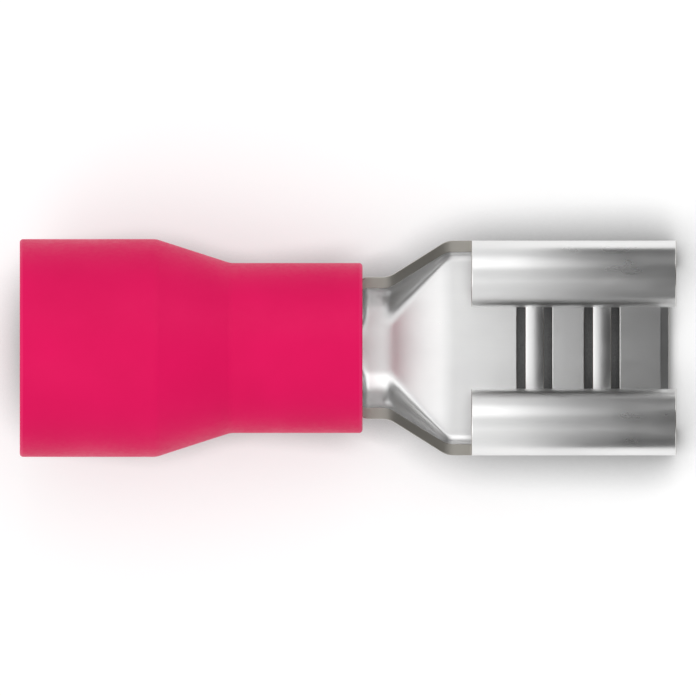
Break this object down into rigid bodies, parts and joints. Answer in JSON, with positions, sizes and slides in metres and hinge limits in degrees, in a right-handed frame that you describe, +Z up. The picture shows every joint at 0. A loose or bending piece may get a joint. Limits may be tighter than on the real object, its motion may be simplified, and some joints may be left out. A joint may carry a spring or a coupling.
{
  "type": "female spade terminal",
  "caption": "Insulated female spade terminal: a rolled socket for a 6.3 mm tab, a crimp barrel and a flared red sleeve.",
  "frame": {"origin": "centre of the bounding box at the surface that the terminal lies on", "axes": "+X from the wire's end to the tab's end, +Z up, with the rolled edges of the socket on top; the barrel's own axis dips 6.5 degrees towards +X, as the terminal lies on its sleeve and its socket's front edge"},
  "size_m": [0.023, 0.0074, 0.008],
  "materials": {
    "sleeve": "satin",
    "tin_plate": "satin"
  },
  "bodies": {
    "root": {"insulating_sleeve": "sleeve", "metal_terminal": "tin_plate"}
  },
  "joints": []
}
